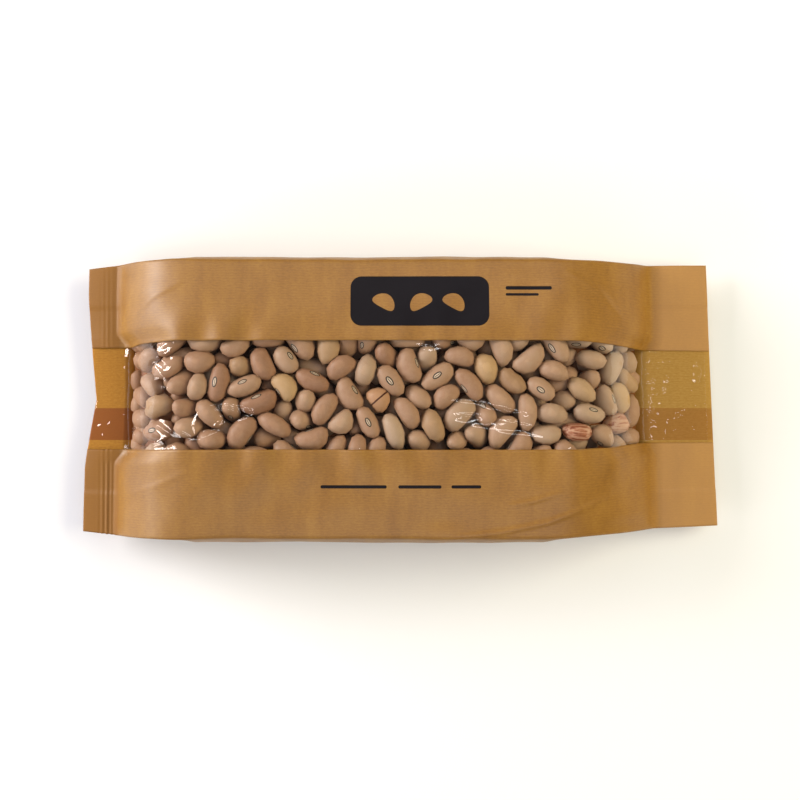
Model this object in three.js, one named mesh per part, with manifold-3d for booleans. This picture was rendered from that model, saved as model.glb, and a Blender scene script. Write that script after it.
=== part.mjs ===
// A side-gusseted kraft paper bag, heat-sealed flat at both ends, with a strip of clear film let into
// its front for its whole length, and the dry beans that show through the film.
// The bag lies on its back. Millimetres, X along the bag, Y across it, Z up, with the origin under the
// middle of the bag on the surface that it lies on.
import * as THREE from "three";
import { mergeVertices } from "three/addons/utils/BufferGeometryUtils.js";
import Module from "manifold-3d";

const { clamp, lerp } = THREE.MathUtils;

// ---- Driving dimensions, millimetres ----
const LEFT_TIP = -100.65; // the cut end of the left seal, on the bag's middle line
const LEFT_SEAL = -89.5; // where the left seal stops and the bag opens
const LEFT_FULL = -65; // where the bag is fully open
const RIGHT_FULL = 46;
const RIGHT_SEAL = 80;
const RIGHT_TIP = 99.85;

const PANEL = 42; // half the width of the front and back panels at the seals
const SPREAD = 1.5; // how much further out their edges are where the bag is full
const GUSSET = 13.2; // depth of each side fold, half the width of a side panel
const BULGE = 1.9; // how far a full side panel swells past the panels' edges
const CROWN = 4.4; // how far the front panel rises above its own edges
const BELLY = 1.8; // how far the back panel hangs below its own edges
const FLAT_BACK = 24; // half the width of the flat that the bag lies on
const SEAL = 1.6; // thickness of the sealed ends, as modelled
const SEAL_FOLD = 0.48; // half the height of the groove that a side fold is in a sealed end
const PAPER = 0.8; // thickness of the bag's wall, as modelled
const FILM = 0.4; // thickness of the film, as modelled
const GAP = 0.3; // clearance between separate pieces
const FACET = 0.2; // how far a flat facet of the front may lie inside the true curve
const WELD = 0.001; // corners closer together than this are one corner

const LEFT_SEAL_HEIGHT = 10; // height of each seal above the surface, where it meets the bag
const RIGHT_SEAL_HEIGHT = 9;
const LEFT_DROOP = 1.5; // how far each seal's cut end hangs below that
const RIGHT_DROOP = 3.5;

const LEFT_SLANT = 0.02; // each cut end leans out a little towards -Y
const RIGHT_SLANT = -0.04;
const NOTCH = 3.2; // how far the left end is drawn in at the film
const NOTCH_REACH = { up: 34, down: 22 };

// Powers that shape each change between its two ends.
const CURVE = {
  opening: 0.75, // under 1: the bag opens fastest beside its seals
  rise: 1.4, // over 1: its sides rise later than it opens
  droop: 1.5,
  crown: 2.4, // over 2: the front is flatter along its middle than an arc
  notch: 1.2,
  window: 1.5,
};

const WINDOW = {
  upper: { left: 16.6, middle: 17.6, right: 15.8 },
  lower: { left: -15.7, middle: -15.4, right: -13.6 },
};
const LAP = { edge: -12.8, step: 0.3, beside: 0.05 }; // the back seam: one edge glued over the other

const BEAN = { length: 10.4, width: 6.7, thickness: 6.1, bend: 0.16 };
const BEAN_SPREAD = { length: 0.16, width: 0.09 };
const BEANS = { count: 268, left: -86.6, right: 77, side: 21.5 }; // how many settle, between which walls
const THROWN = { from: 4, depth: 14, inset: 5, tilt: 0.4 }; // how far under the film they start, how tilted
const SETTLE = { steps: 260, lift: 0.16, ease: 0.45 };
const CORE = { left: -87.4, right: 77.7 }; // ends of the heap's core
const TROUGH = { depth: 3.7, share: 0.6, overhang: 2.6 }; // the heap's core lies lower where beans show
const SHOWN = { middle: 1.2, side: 20, depth: 2.2 }; // which beans are near enough to the film to be seen
const SEED = 7341;

const HALF_SEAL = SEAL / 2;
const FULL_HALF = HALF_SEAL + GUSSET;
const MIDDLE_HEIGHT = FULL_HALF + BELLY;
const CLEAR = PAPER + GAP + 0.05; // from the bag's outer face down to what lies inside it
const ROOM = 1.5; // the bag is hollowed out where its side panels are open by at least this, either way

// ---- Form of the bag ----

// How far the bag is open: 0 in the sealed ends, 1 where it is full.
function openness(x) {
  const left = clamp((x - LEFT_SEAL) / (LEFT_FULL - LEFT_SEAL), 0, 1);
  const right = clamp((RIGHT_SEAL - x) / (RIGHT_SEAL - RIGHT_FULL), 0, 1);
  return Math.sin((Math.min(left, right) ** CURVE.opening * Math.PI) / 2);
}

// Height of the middle of the side panels, which is the height of the seals at the ends.
function middleHeight(x) {
  const seal = x < 0 ? LEFT_SEAL_HEIGHT : RIGHT_SEAL_HEIGHT;
  const pastLeft = (LEFT_SEAL - x) / (LEFT_SEAL - LEFT_TIP);
  const pastRight = (x - RIGHT_SEAL) / (RIGHT_TIP - RIGHT_SEAL);
  const past = Math.max(pastLeft, pastRight, 0);
  const droop = (x < 0 ? LEFT_DROOP : RIGHT_DROOP) * past ** CURVE.droop;
  return lerp(seal, MIDDLE_HEIGHT, openness(x) ** CURVE.rise) - droop;
}

// How far the sides have spread: it starts at the left cut end, but only past the seal at the right.
function spread(x) {
  const left = (x - LEFT_TIP) / (LEFT_FULL - LEFT_TIP);
  const right = (RIGHT_SEAL - x) / (RIGHT_SEAL - RIGHT_FULL);
  return clamp(Math.min(left, right), 0, 1);
}

const panelEdge = (x) => PANEL + SPREAD * spread(x);
const foldDepth = (x) => (x > LEFT_SEAL && x < RIGHT_SEAL ? GUSSET * Math.sqrt(1 - openness(x) ** 2) : 0);
const foldMouth = (x) => Math.max(GUSSET * openness(x), SEAL_FOLD);
const halfHeight = (x) => HALF_SEAL + GUSSET * openness(x);

function frontHeight(x, y) {
  const crown = CROWN * openness(x) * (1 - Math.min(Math.abs(y) / panelEdge(x), 1) ** CURVE.crown);
  return middleHeight(x) + halfHeight(x) + crown;
}

function backHeight(x, y) {
  const rise = clamp((Math.abs(y) - FLAT_BACK) / (panelEdge(x) - FLAT_BACK), 0, 1) ** 2;
  const step = y < LAP.edge ? LAP.step : 0;
  return middleHeight(x) - halfHeight(x) - BELLY * openness(x) * (1 - rise) + step;
}

// Across the side panel at height z above its middle: an inward fold near the seals, a swelling where full.
function sideReach(x, z) {
  const fold = foldDepth(x) * Math.max(0, 1 - Math.abs(z) / foldMouth(x));
  return panelEdge(x) + BULGE * spread(x) * (1 - (z / halfHeight(x)) ** 2) - fold;
}

// The cut ends aren't square to the bag, and the left one is drawn in at the film.
function skew(x, y) {
  if (x < 0) {
    const end = clamp((x - LEFT_FULL) / (LEFT_TIP - LEFT_FULL), 0, 1);
    const tip = clamp((x - LEFT_SEAL) / (LEFT_TIP - LEFT_SEAL), 0, 1);
    const reach = y > 0 ? NOTCH_REACH.up : NOTCH_REACH.down;
    return x + end * LEFT_SLANT * y + tip * NOTCH * Math.max(0, 1 - Math.abs(y) / reach) ** CURVE.notch;
  }
  const end = clamp((x - RIGHT_FULL) / (RIGHT_TIP - RIGHT_FULL), 0, 1);
  return x + end * RIGHT_SLANT * y;
}

// One edge of the window, from its three widths.
function windowEdge(edge, x) {
  const side = x < 0 ? edge.left : edge.right;
  return lerp(side, edge.middle, openness(x) ** CURVE.window);
}

// ---- Stations along the bag ----

// Evenly spaced values, both ends included.
function spaced(from, to, count) {
  return Array.from({ length: count }, (_, i) => lerp(from, to, i / (count - 1)));
}

// Closer together near the seals, where the bag opens fastest.
function stationsBetween(left, right) {
  const opening = spaced(0, 1, 8).slice(1).map((t) => t ** 1.5);
  const all = [
    ...spaced(LEFT_TIP, LEFT_SEAL, 3),
    ...opening.map((t) => lerp(LEFT_SEAL, LEFT_FULL, t)),
    ...spaced(LEFT_FULL, RIGHT_FULL, 5).slice(1, -1),
    ...opening.map((t) => lerp(RIGHT_SEAL, RIGHT_FULL, t)).reverse(),
    ...spaced(RIGHT_SEAL, RIGHT_TIP, 3),
  ];
  return all.filter((x) => x >= left && x <= right);
}

// ---- Solids ----

const wasm = await Module();
wasm.setup();

function solidOf(geometry) {
  const bare = new THREE.BufferGeometry().setAttribute("position", geometry.getAttribute("position"));
  bare.setIndex(geometry.index);
  const merged = mergeVertices(bare, 1e-4);
  return new wasm.Manifold(
    new wasm.Mesh({
      numProp: 3,
      vertProperties: merged.attributes.position.array,
      triVerts: new Uint32Array(merged.index.array),
    }),
  );
}

// Corners closer together than the weld are made one, and triangles that this closes up are dropped.
function geometryOf(solid) {
  const mesh = solid.getMesh();
  const geometry = new THREE.BufferGeometry();
  geometry.setAttribute("position", new THREE.BufferAttribute(mesh.vertProperties, 3));
  geometry.setIndex(new THREE.BufferAttribute(mesh.triVerts, 1));
  const welded = mergeVertices(geometry, WELD);
  const corners = [...welded.index.array];
  const open = corners.filter((_, i) => {
    const [a, b, c] = corners.slice(i - (i % 3), i - (i % 3) + 3);
    return a !== b && b !== c && c !== a;
  });
  return welded.setIndex(open);
}

// A closed tube through the stations: section(x) gives the loop of [y, z] points there, and every loop has
// as many points. It starts as a capped cylinder whose rows and columns are then put in place.
function loft(stations, section) {
  const loops = stations.map(section);
  const columns = loops[0].length;
  const rows = stations.length - 1;
  const tube = new THREE.CylinderGeometry(1, 1, rows, columns, rows);
  const place = tube.getAttribute("position");
  for (let i = 0; i < place.count; i++) {
    const row = Math.round(place.getY(i) + rows / 2);
    const turn = Math.atan2(place.getX(i), place.getZ(i)) / (2 * Math.PI);
    const onAxis = Math.hypot(place.getX(i), place.getZ(i)) < 0.5;
    const loop = loops[row];
    const middle = loop.reduce(([y, z], p) => [y + p[0] / columns, z + p[1] / columns], [0, 0]);
    const [y, z] = onAxis ? middle : loop[(Math.round(turn * columns) + columns) % columns];
    place.setXYZ(i, skew(stations[row], y), y, z);
  }
  return solidOf(tube);
}

// A loop of [y, z] points: along the front from +Y to -Y, down one side, back along the back, up the other.
function panelLoop(frontPoints, sideHeights, backPoints, front, side, back) {
  const upper = frontPoints.map((y) => [y, front(y)]);
  const right = sideHeights.map((z) => [-side(z), z]);
  const lower = backPoints.map((y) => [y, back(y)]);
  const left = [...sideHeights].reverse().map((z) => [side(z), z]);
  return [...upper, ...right, ...lower, ...left];
}

const FRONT_SHARES = spaced(1, -1, 11);
const BACK_SHARES = spaced(-1, 1, 7);
const FILM_SHARES = spaced(0, 1, 5);

function outerLoop(x) {
  const middle = middleHeight(x);
  const sides = [1, 0.5, 0, -0.5, -1].map((share) => middle + share * foldMouth(x));
  const lap = [LAP.edge - LAP.beside, LAP.edge]; // apart, so that the seam's step isn't vertical
  const backs = [...BACK_SHARES.map((share) => share * panelEdge(x)), ...lap].sort((a, b) => a - b);
  return panelLoop(
    FRONT_SHARES.map((share) => share * panelEdge(x)),
    sides,
    backs,
    (y) => frontHeight(x, y),
    (z) => sideReach(x, z - middle),
    (y) => backHeight(x, y),
  );
}

// The inside, a distance within the outer face. It stops short of the folds at the ends.
function innerLoop(x, distance) {
  const middle = middleHeight(x);
  const half = halfHeight(x) - distance;
  const swell = (z) => BULGE * spread(x) * (1 - ((z - middle) / halfHeight(x)) ** 2);
  const reach = (z) => panelEdge(x) + swell(z) - foldDepth(x) - distance;
  const edge = reach(middle + half);
  return panelLoop(
    FRONT_SHARES.map((share) => share * edge),
    [0.5, 0, -0.5].map((share) => middle + share * half),
    BACK_SHARES.map((share) => share * edge),
    (y) => frontHeight(x, y) - distance,
    reach,
    (y) => backHeight(x, y) + distance + (y < LAP.edge ? 0 : LAP.step),
  );
}

const bagStations = stationsBetween(LEFT_TIP, RIGHT_TIP);
const roomy = bagStations.filter((x) => GUSSET * openness(x) > ROOM);

// The opening that the film fills, carried out past both cut ends.
function windowCut() {
  const past = 5;
  const above = MIDDLE_HEIGHT + FULL_HALF + CROWN + past;
  const stations = [LEFT_TIP - past, ...bagStations, RIGHT_TIP + past];
  return loft(stations, (station) => {
    const x = clamp(station, LEFT_TIP, RIGHT_TIP);
    const floor = middleHeight(x) + HALF_SEAL - FILM - GAP;
    const upper = windowEdge(WINDOW.upper, x);
    const lower = windowEdge(WINDOW.lower, x);
    const across = FILM_SHARES.map((share) => lerp(upper, lower, share));
    return [[upper, above], [lower, above], ...across.reverse().map((y) => [y, floor])];
  });
}

function paperBag() {
  const outside = loft(bagStations, outerLoop);
  const inside = loft(roomy, (x) => innerLoop(x, PAPER));
  return outside.subtract(inside).subtract(windowCut());
}

function windowFilm() {
  return loft(bagStations, (x) => {
    const upper = windowEdge(WINDOW.upper, x) - GAP;
    const lower = windowEdge(WINDOW.lower, x) + GAP;
    const across = FILM_SHARES.map((share) => lerp(upper, lower, share));
    const top = across.map((y) => [y, frontHeight(x, y)]);
    const under = [...top].reverse().map(([y, z]) => [y, z - FILM]);
    return [...top, ...under];
  });
}

// ---- Beans ----

function seededRandom(seed) {
  let state = seed;
  return () => {
    state = (state * 16807) % 2147483647;
    return state / 2147483647;
  };
}

const ceiling = (x, y) => frontHeight(x, y) - CLEAR - FACET;
const floor = (x, y) => backHeight(x, y) + LAP.step + CLEAR;

// How much longer than its height a slope is, where a surface of that height meets a ball.
function steepness(height, x, y) {
  const alongX = height(x + 0.5, y) - height(x - 0.5, y);
  const alongY = height(x, y + 0.5) - height(x, y - 0.5);
  return Math.sqrt(1 + alongX * alongX + alongY * alongY);
}

// The beans pressed up against the film: thrown in at random, then pushed apart and up until they rest.
// Each is three spheres in a row while it settles.
function settledBeans() {
  const random = seededRandom(SEED);
  const vary = (mean, share) => mean * (1 + share * (2 * random() - 1));
  const beans = Array.from({ length: BEANS.count }, () => {
    const length = vary(BEAN.length, BEAN_SPREAD.length);
    const width = vary(BEAN.width, BEAN_SPREAD.width);
    const x = lerp(BEANS.left + THROWN.inset, BEANS.right - THROWN.inset, random());
    const y = lerp(THROWN.inset - BEANS.side, BEANS.side - THROWN.inset, random());
    const z = ceiling(x, y) - THROWN.from - THROWN.depth * random();
    const heading = 2 * Math.PI * random();
    const tilt = THROWN.tilt * (2 * random() - 1);
    const roll = 2 * Math.PI * random();
    const axis = new THREE.Vector3(
      Math.cos(heading) * Math.cos(tilt),
      Math.sin(heading) * Math.cos(tilt),
      Math.sin(tilt),
    );
    return { length, width, roll, axis, centre: new THREE.Vector3(x, y, z) };
  });
  const radii = beans.map((bean) => (bean.width * (BEAN.width + BEAN.thickness)) / BEAN.width / 4);
  const offsets = beans.map((bean, i) => bean.length / 2 - radii[i]);
  for (let step = 0; step < SETTLE.steps; step++) {
    const lift = SETTLE.lift * (1 - step / SETTLE.steps);
    const balls = beans.flatMap(({ centre, axis }, i) => {
      const lifted = centre.clone().add({ x: 0, y: 0, z: lift });
      return [-1, 0, 1].map((end) => lifted.clone().addScaledVector(axis, end * offsets[i]));
    });
    const pushes = balls.map(() => new THREE.Vector3());
    for (let a = 0; a < balls.length; a++) {
      const beanA = Math.floor(a / 3);
      for (let b = 3 * beanA + 3; b < balls.length; b++) {
        const reach = radii[beanA] + radii[Math.floor(b / 3)];
        const dx = balls[b].x - balls[a].x;
        const dy = balls[b].y - balls[a].y;
        const dz = balls[b].z - balls[a].z;
        const square = dx * dx + dy * dy + dz * dz;
        if (square >= reach * reach || square === 0) continue;
        const distance = Math.sqrt(square);
        const push = (SETTLE.ease * (reach - distance)) / distance;
        pushes[a].add({ x: -dx * push, y: -dy * push, z: -dz * push });
        pushes[b].add({ x: dx * push, y: dy * push, z: dz * push });
      }
    }
    balls.forEach((ball, i) => {
      const radius = radii[Math.floor(i / 3)];
      ball.add(pushes[i]);
      ball.x = clamp(ball.x, BEANS.left + radius, BEANS.right - radius);
      ball.y = clamp(ball.y, radius - BEANS.side, BEANS.side - radius);
      const top = ceiling(ball.x, ball.y) - radius * steepness(ceiling, ball.x, ball.y);
      const bottom = floor(ball.x, ball.y) + radius * steepness(floor, ball.x, ball.y);
      ball.z = Math.min(Math.max(ball.z, bottom), Math.max(top, (top + bottom) / 2));
    });
    beans.forEach((bean, i) => {
      const [back, mid, front] = balls.slice(3 * i, 3 * i + 3);
      bean.centre.copy(back).add(mid).add(front).divideScalar(3);
      bean.axis.copy(front).sub(back).normalize();
    });
  }
  return beans;
}

// A low kidney shape, curved towards its scar on the -Y side, and lowered where it would touch the film.
function beanSolid({ length, width, roll, axis, centre }) {
  const ball = new THREE.SphereGeometry(1, 8, 5).rotateZ(Math.PI / 2);
  const place = ball.getAttribute("position");
  for (let i = 0; i < place.count; i++) {
    const along = place.getX(i);
    const side = place.getY(i) + BEAN.bend * (1 - 2 * along * along);
    const thick = (place.getZ(i) * BEAN.thickness) / BEAN.width;
    place.setXYZ(i, (along * length) / 2, (side * width) / 2, (thick * width) / 2);
  }
  const turn = new THREE.Quaternion().setFromUnitVectors(new THREE.Vector3(1, 0, 0), axis);
  const spin = new THREE.Quaternion().setFromAxisAngle(new THREE.Vector3(1, 0, 0), roll);
  ball.applyQuaternion(turn.multiply(spin)).translate(centre.x, centre.y, centre.z);
  let excess = 0;
  for (let i = 0; i < place.count; i++) {
    excess = Math.max(excess, place.getZ(i) - ceiling(place.getX(i), place.getY(i)));
  }
  return solidOf(ball.translate(0, 0, -excess));
}

function beanHeap() {
  const between = bagStations.filter((x) => x > CORE.left + 1 && x < CORE.right - 1);
  const core = loft([CORE.left, ...between, CORE.right], (x) => {
    const upper = windowEdge(WINDOW.upper, x) + TROUGH.overhang;
    const lower = windowEdge(WINDOW.lower, x) - TROUGH.overhang;
    const drop = Math.min(TROUGH.depth, TROUGH.share * (halfHeight(x) - CLEAR));
    const dropped = (y, z) => z > middleHeight(x) && y > lower && y < upper;
    return innerLoop(x, CLEAR).map(([y, z]) => [y, dropped(y, z) ? z - drop : z]);
  });
  const shown = settledBeans().filter(({ centre, axis, length, width }) => {
    const top = centre.z + (Math.abs(axis.z) * (length - width) + width) / 2;
    const near = ceiling(centre.x, centre.y) - top < SHOWN.depth;
    return near && Math.abs(centre.y - SHOWN.middle) < SHOWN.side;
  });
  const room = loft(roomy, (x) => innerLoop(x, PAPER + GAP));
  const fits = (bean) => bean.subtract(room).isEmpty();
  const heap = wasm.Manifold.union([core, ...shown.map(beanSolid).filter(fits)]);
  return heap.decompose().sort((a, b) => b.volume() - a.volume())[0]; // without any bean that hangs free
}

// ---- The object ----

function piece(name, solid, color, options) {
  const material = new THREE.MeshStandardMaterial({ color, metalness: 0, ...options });
  const mesh = new THREE.Mesh(geometryOf(solid), material);
  mesh.geometry.computeVertexNormals();
  mesh.name = name;
  return mesh;
}

const pack = new THREE.Group();
pack.add(
  piece("kraft_bag", paperBag(), 0xaa7a48, { roughness: 0.75, flatShading: true }),
  piece("window_film", windowFilm(), 0xf4f1ea, { roughness: 0.1, transparent: true, opacity: 0.2 }),
  piece("bean_heap", beanHeap(), 0xbd9a78, { roughness: 0.6 }),
);

export default pack;
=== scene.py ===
import math

import bmesh
import bpy
import numpy as np
from mathutils import Matrix, Vector


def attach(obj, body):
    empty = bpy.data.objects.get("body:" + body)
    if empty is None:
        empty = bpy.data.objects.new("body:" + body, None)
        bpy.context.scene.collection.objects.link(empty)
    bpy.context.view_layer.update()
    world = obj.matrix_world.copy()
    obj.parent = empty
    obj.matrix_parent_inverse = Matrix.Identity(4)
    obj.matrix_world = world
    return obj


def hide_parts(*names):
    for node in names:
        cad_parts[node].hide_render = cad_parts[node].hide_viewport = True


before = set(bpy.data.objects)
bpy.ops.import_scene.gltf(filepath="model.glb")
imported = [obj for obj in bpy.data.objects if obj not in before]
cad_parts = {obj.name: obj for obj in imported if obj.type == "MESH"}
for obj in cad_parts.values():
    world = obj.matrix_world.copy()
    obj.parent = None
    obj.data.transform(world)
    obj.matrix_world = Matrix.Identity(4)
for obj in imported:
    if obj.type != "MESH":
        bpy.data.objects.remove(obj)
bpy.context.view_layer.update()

MM = 0.001

# ---- The bag's driving dimensions, most of them the solids' own ----
LEFT_TIP, LEFT_SEAL, LEFT_FULL = -100.65, -89.5, -65.0
RIGHT_FULL, RIGHT_SEAL, RIGHT_TIP = 46.0, 80.0, 100.7
PANEL = 42.0  # half the width of the front and back panels at the seals
SPREAD = 0.8  # how much further out the edges of those panels are where the bag is full
SPREAD_AT_SEAL = 1.1  # and at the left seal
GUSSET = 13.2  # depth of each side fold
FOLD_STEP = 1.2  # how wide the step is where that fold ends between the sheets of a seal
BULGE = 1.9  # how far each side swells out between the panels
CROWN = 4.4  # how much higher the front is along its middle than at its edges
CROWN_CURVE = 2.4  # over 2: it is flatter there than an arc
BELLY = 1.8  # how much lower the back is along its middle than at its edges
FLAT_BACK = 24.0  # half the width of the back's flat middle
FULL_WALL = 0.8  # thickness of the solids' paper, whose outside the full bag keeps
MIDDLE_HEIGHT = FULL_WALL + GUSSET + BELLY  # of the full bag, halfway up its sides
SEAL_HEIGHT = {"left": 10.0, "right": 9.0}  # of each seal's inner edge over the table
DROOP, DROOP_CURVE = {"left": 1.5, "right": 3.5}, 1.5  # how much lower each tip is, reached along a curve
SLANT = {"left": 0.02, "right": -0.04}  # how far from square each end is, for each millimetre across
SIDEWAYS, SIDEWAYS_FROM = 1.6, 18.0  # how far the right end's outer parts lie towards +Y, and from where
NOTCH, NOTCH_CURVE = 3.2, 1.2  # how far the left end is drawn in at the film, along a curve
NOTCH_UP, NOTCH_DOWN = 34.0, 22.0  # how far that reaches from the middle, towards +Y and towards -Y
SEALED_IN = {"left": 3.2, "right": 2.4}  # how much further in each end is sealed beside the film
SEALED_IN_FADE = 5.0  # how far beside the window that reaches
WINDOW_UPPER = {"left": 16.6, "middle": 17.6, "right": 15.8}
WINDOW_LOWER = {"left": -15.7, "middle": -15.4, "right": -13.6}
WINDOW_CURVE = 1.5  # over 1: its edges part later than the bag opens
LAP_EDGE, LAP_WIDTH = -12.8, 10.2  # the glued lap along the back: its outer edge, and how wide it is
LAP_STEP, LAP_RAMP = 0.3, 0.25  # the step at that edge: its height, and half its width
BESIDE_LAP = 0.3  # how far from the edge the nearest lines of corners on the back run
OPENING = 0.75  # under 1: the bag opens fastest beside its seals
SEAL_ROUNDING = (-1.6, -0.8, 0.0, 0.8, 1.6)  # its slopes are averaged over these shifts along it
RISE = 1.4  # over 1: its sides rise later than it opens
SHOULDER_AT, SHOULDER_REACH, SHOULDER_SAG = -69.0, 7.5, 1.1  # the front sags where the left slope ends

# ---- Unevenness of the front, film and paper alike: the height of each kind ----
RIPPLE, RIPPLE_REACH = 0.48, 8  # ripples beside the window's edges, and how far from them they die away
RIPPLE_AT_SEALS = 0.2  # the share of them that is left in the sealed ends
DENTS = 0.14
SWAY = 0.3
TUCKS = 1.2  # lines along the two slopes

# ---- The paper and the film ----
PAPER = 0.22  # thickness of the paper, twice the real one so that its edge shows
LAYER_GAP = 0.06  # from the middle of a seal to the sheet on either side of it
FILM = 0.04  # thickness of the film
GLUE = 0.04  # thickness of the glue between the paper and the film
FILM_UNDER_PAPER = 3.5  # how far the film reaches under the paper, where it is glued

# ---- The beans ----
BEAN_LENGTH, BEAN_WIDTH, BEAN_THICKNESS, BEAN_BEND = 10.4, 6.7, 6.1, 0.16
LENGTH_SPREAD, WIDTH_SPREAD = 0.16, 0.09  # how far from those a bean may be, as a share
BEAN_COUNT, BEANS_LEFT, BEANS_RIGHT, BEANS_SIDE = 268, -86.6, 77.0, 21.5
THROWN_FROM, THROWN_DEPTH = 4.0, 14.0  # how far under the front they start, and how deep from there
THROWN_INSET, THROWN_TILT = 5.0, 0.4
SETTLE_STEPS, SETTLE_LIFT, SETTLE_EASE = 260, 0.16, 0.45
CEILING_CLEAR, FLOOR_CLEAR = 1.35, 1.45  # from the outside of the solids' front and back to the beans
END_WAVE, END_WAVES = 1.6, 0.31  # how deep the waves are in which the beans end, and how close together
SEED = 7341
LIFT = 0.85  # the film is thinner than its solid, so the beans lie this much higher than theirs


# ---- Form of the bag ----
def blend(low, high, share):
    return low + (high - low) * share


def ease(low, high, value):
    share = np.clip((value - low) / (high - low), 0, 1)
    return share * share * (3 - 2 * share)


def by_end(values, x):
    """The value of the end that x is nearer to."""
    return np.where(x < 0, values["left"], values["right"])


def openness(x):
    """How far the bag is open: 0 in the sealed ends, 1 where it is full, rounded where it leaves a seal."""
    total = 0
    for shift in SEAL_ROUNDING:
        left = np.clip((x + shift - LEFT_SEAL) / (LEFT_FULL - LEFT_SEAL), 0, 1)
        right = np.clip((RIGHT_SEAL - x - shift) / (RIGHT_SEAL - RIGHT_FULL), 0, 1)
        total = total + np.sin(np.minimum(left, right) ** OPENING * math.pi / 2)
    return total / len(SEAL_ROUNDING)


def middle_height(x):
    """The height of the plane halfway between the front and the back, where the side folds are."""
    past_left = (LEFT_SEAL - x) / (LEFT_SEAL - LEFT_TIP)
    past_right = (x - RIGHT_SEAL) / (RIGHT_TIP - RIGHT_SEAL)
    droop = by_end(DROOP, x) * np.maximum(np.maximum(past_left, past_right), 0) ** DROOP_CURVE
    return blend(by_end(SEAL_HEIGHT, x), MIDDLE_HEIGHT, openness(x) ** RISE) - droop


def spread(x):
    """How far the sides have swollen out: 0 at a tip or seal, 1 where the bag is full."""
    left = (x - LEFT_TIP) / (LEFT_FULL - LEFT_TIP)
    right = (RIGHT_SEAL - x) / (RIGHT_SEAL - RIGHT_FULL)
    return np.clip(np.minimum(left, right), 0, 1)


def panel_edge(x):
    """How far from the middle the long edges of the front and back are."""
    steps = (LEFT_TIP, LEFT_SEAL, LEFT_FULL, RIGHT_FULL, RIGHT_SEAL)
    return PANEL + np.interp(x, steps, (0, SPREAD_AT_SEAL, SPREAD, SPREAD, 0))


def wall(x, y):
    """Half the thickness of the sheets pressed together: four where a side is folded in, else two."""
    folded = ease(0, FOLD_STEP, np.abs(y) - (PANEL - GUSSET))
    sealed = (PAPER + LAYER_GAP) * (1 + folded)
    return blend(sealed, FULL_WALL, openness(x))


def crown(x, y):
    return CROWN * openness(x) * (1 - np.minimum(np.abs(y) / panel_edge(x), 1) ** CROWN_CURVE)


def belly(x, y):
    rise = np.clip((np.abs(y) - FLAT_BACK) / (panel_edge(x) - FLAT_BACK), 0, 1) ** 2
    return BELLY * openness(x) * (1 - rise)


def solid_front(x, y):
    """The front of the solid bag, under which its beans settled."""
    return middle_height(x) + FULL_WALL + GUSSET * openness(x) + crown(x, y)


def solid_back(x, y):
    """The back of the solid bag, over which its beans settled."""
    step = np.where(y < LAP_EDGE, LAP_STEP, 0)
    return middle_height(x) - FULL_WALL - GUSSET * openness(x) - belly(x, y) + step


def front_height(x, y):
    """The outside of the paper's front, before its unevenness."""
    sag = SHOULDER_SAG * np.exp(-(((x - SHOULDER_AT) / SHOULDER_REACH) ** 2)) * openness(x)
    return middle_height(x) + wall(x, y) + GUSSET * openness(x) + crown(x, y) - sag


def back_height(x, y):
    """The outside of the paper's back, before its unevenness."""
    step = LAP_STEP * openness(x) * ease(LAP_RAMP, -LAP_RAMP, y - LAP_EDGE)
    return middle_height(x) - wall(x, y) - GUSSET * openness(x) - belly(x, y) + step


def skew(x, y):
    """The ends aren't square to the bag, the left one is drawn in at the film, and both are sealed further
    in there than beside it."""
    end = np.maximum((x - LEFT_FULL) / (LEFT_TIP - LEFT_FULL), (x - RIGHT_FULL) / (RIGHT_TIP - RIGHT_FULL))
    slanted = np.clip(end, 0, 1) * by_end(SLANT, x) * y
    tip = np.clip((x - LEFT_SEAL) / (LEFT_TIP - LEFT_SEAL), 0, 1)
    reach = np.where(y > 0, NOTCH_UP, NOTCH_DOWN)
    notch = tip * NOTCH * np.maximum(0, 1 - np.abs(y) / reach) ** NOTCH_CURVE
    at_left = np.interp(x, (LEFT_TIP, LEFT_SEAL, LEFT_FULL), (0, SEALED_IN["left"], 0))
    at_right = np.interp(x, (RIGHT_FULL, RIGHT_SEAL, RIGHT_TIP), (0, SEALED_IN["right"], 0))
    return x + slanted + notch + (at_left - at_right) * ease(SEALED_IN_FADE, 0, beyond_window(x, y))


def sideways(x, y):
    """Where the right end's outer parts lie across the bag; the film stays where it is."""
    moved = SIDEWAYS * np.interp(x, (RIGHT_FULL, RIGHT_TIP), (0, 1))
    return y + moved * ease(SIDEWAYS_FROM, PANEL, np.abs(y))


def unskewed(x, y):
    """Where a place of the finished bag was before its ends were skewed."""
    before = x
    for _ in range(4):
        before = x - (skew(before, y) - before)
    return before


def window_edge(edge, x):
    return blend(by_end(edge, x), edge["middle"], openness(x) ** WINDOW_CURVE)


def lumps(x, y, size, seed, waves=12):
    """Smooth unevenness of about 1 either way, with lumps of the given size."""
    draw = np.random.default_rng(seed)
    total = 0
    for _ in range(waves):
        heading, phase = draw.uniform(0, 2 * math.pi, 2)
        turns = 2 * math.pi / (size * draw.uniform(1.5, 2.8))
        total = total + np.sin((x * math.cos(heading) + y * math.sin(heading)) * turns + phase)
    return total / math.sqrt(waves)


def crease(x, y, points, width):
    """1 along a line through the points and 0 a few widths from it, dying away at both ends."""
    steps = [math.dist(a, b) for a, b in zip(points, points[1:])]
    run, height = 0, 0
    for (ax, ay), (bx, by), length in zip(points, points[1:], steps):
        along = np.clip(((x - ax) * (bx - ax) + (y - ay) * (by - ay)) / length**2, 0, 1)
        aside = np.hypot(x - ax - along * (bx - ax), y - ay - along * (by - ay))
        share = (run + along * length) / sum(steps)
        height = np.maximum(height, np.exp(-((aside / width) ** 2)) * np.sqrt(np.sin(math.pi * share)))
        run += length
    return height


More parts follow.
